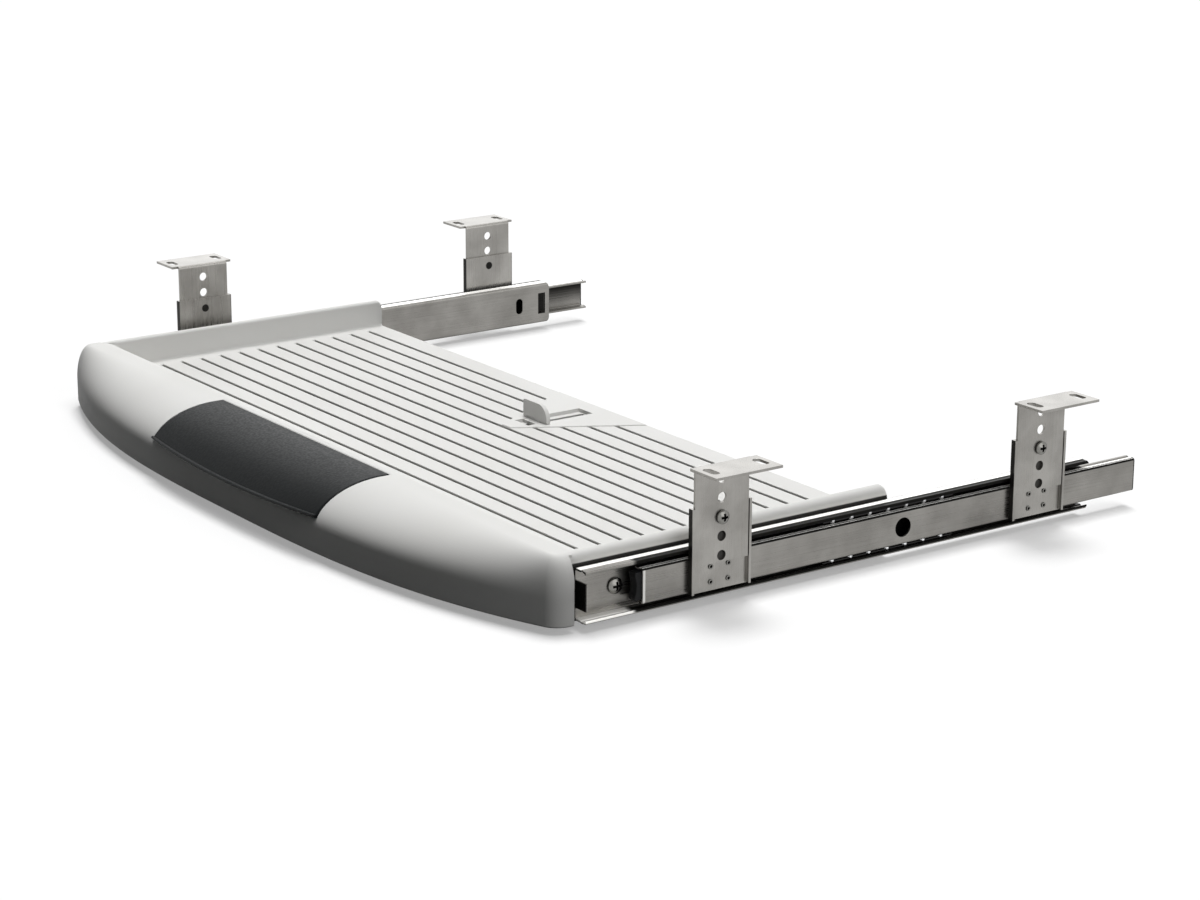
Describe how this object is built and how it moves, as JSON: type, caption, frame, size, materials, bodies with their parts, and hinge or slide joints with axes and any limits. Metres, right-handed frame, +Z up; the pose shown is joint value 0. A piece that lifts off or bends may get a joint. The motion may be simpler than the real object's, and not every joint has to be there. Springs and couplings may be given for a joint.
{
  "type": "keyboard tray",
  "caption": "Pull-out keyboard tray with a bowed palm rest, hung under a desk from ball slides on height-adjustable hangers, with a sliding keyboard stop.",
  "frame": {"origin": "middle of the four hanger flanges, on their top faces, where they meet the desk", "axes": "+X to the right of a seated user, +Y away from the user, +Z up to the desk"},
  "size_m": [0.604, 0.4424, 0.0745],
  "materials": {
    "tray_abs": "fine moulded grain",
    "pad_soft": "soft satin",
    "zinc_steel": "zinc plated",
    "bright_steel": "polished",
    "screw_steel": "bright zinc",
    "bumper_rubber": "matt black"
  },
  "bodies": {
    "desk_mount": {"left_front_hanger": "zinc_steel", "left_front_guide": "zinc_steel", "left_front_height_screw": "screw_steel", "left_front_rivets": "zinc_steel", "left_rear_hanger": "zinc_steel", "left_rear_guide": "zinc_steel", "left_rear_height_screw": "screw_steel", "left_rear_rivets": "zinc_steel", "right_front_hanger": "zinc_steel", "right_front_guide": "zinc_steel", "right_front_height_screw": "screw_steel", "right_front_rivets": "zinc_steel", "right_rear_hanger": "zinc_steel", "right_rear_guide": "zinc_steel", "right_rear_height_screw": "screw_steel", "right_rear_rivets": "zinc_steel", "left_desk_rail": "zinc_steel", "left_rail_bumper": "bumper_rubber", "right_desk_rail": "zinc_steel", "right_rail_bumper": "bumper_rubber"},
    "tray": {"tray_shell": "tray_abs", "palm_pad": "pad_soft", "left_tray_channel": "zinc_steel", "left_tray_screws": "screw_steel", "right_tray_channel": "zinc_steel", "right_tray_screws": "screw_steel"},
    "left_cage": {"left_ball_cage": "bright_steel", "left_upper_balls": "bright_steel", "left_lower_balls": "bright_steel"},
    "right_cage": {"right_ball_cage": "bright_steel", "right_upper_balls": "bright_steel", "right_lower_balls": "bright_steel"},
    "stop": {"keyboard_stop": "tray_abs", "stop_clip": "tray_abs"}
  },
  "joints": [
    {"name": "tray_slide", "type": "slide", "parent": "desk_mount", "child": "tray", "axis": [0, -1, 0], "range_m": [-0.0295, 0.1825]},
    {"name": "left_cage_slide", "type": "slide", "parent": "desk_mount", "child": "left_cage", "axis": [0, -1, 0], "range_m": [-0.0148, 0.0913]},
    {"name": "right_cage_slide", "type": "slide", "parent": "desk_mount", "child": "right_cage", "axis": [0, -1, 0], "range_m": [-0.0148, 0.0913]},
    {"name": "stop_slide", "type": "slide", "parent": "tray", "child": "stop", "axis": [0, 1, 0], "range_m": [-0.0059, 0.031]}
  ],
  "couplings": [
    {"joint": "left_cage_slide", "follows": "tray_slide", "ratio": 0.5},
    {"joint": "right_cage_slide", "follows": "tray_slide", "ratio": 0.5}
  ]
}
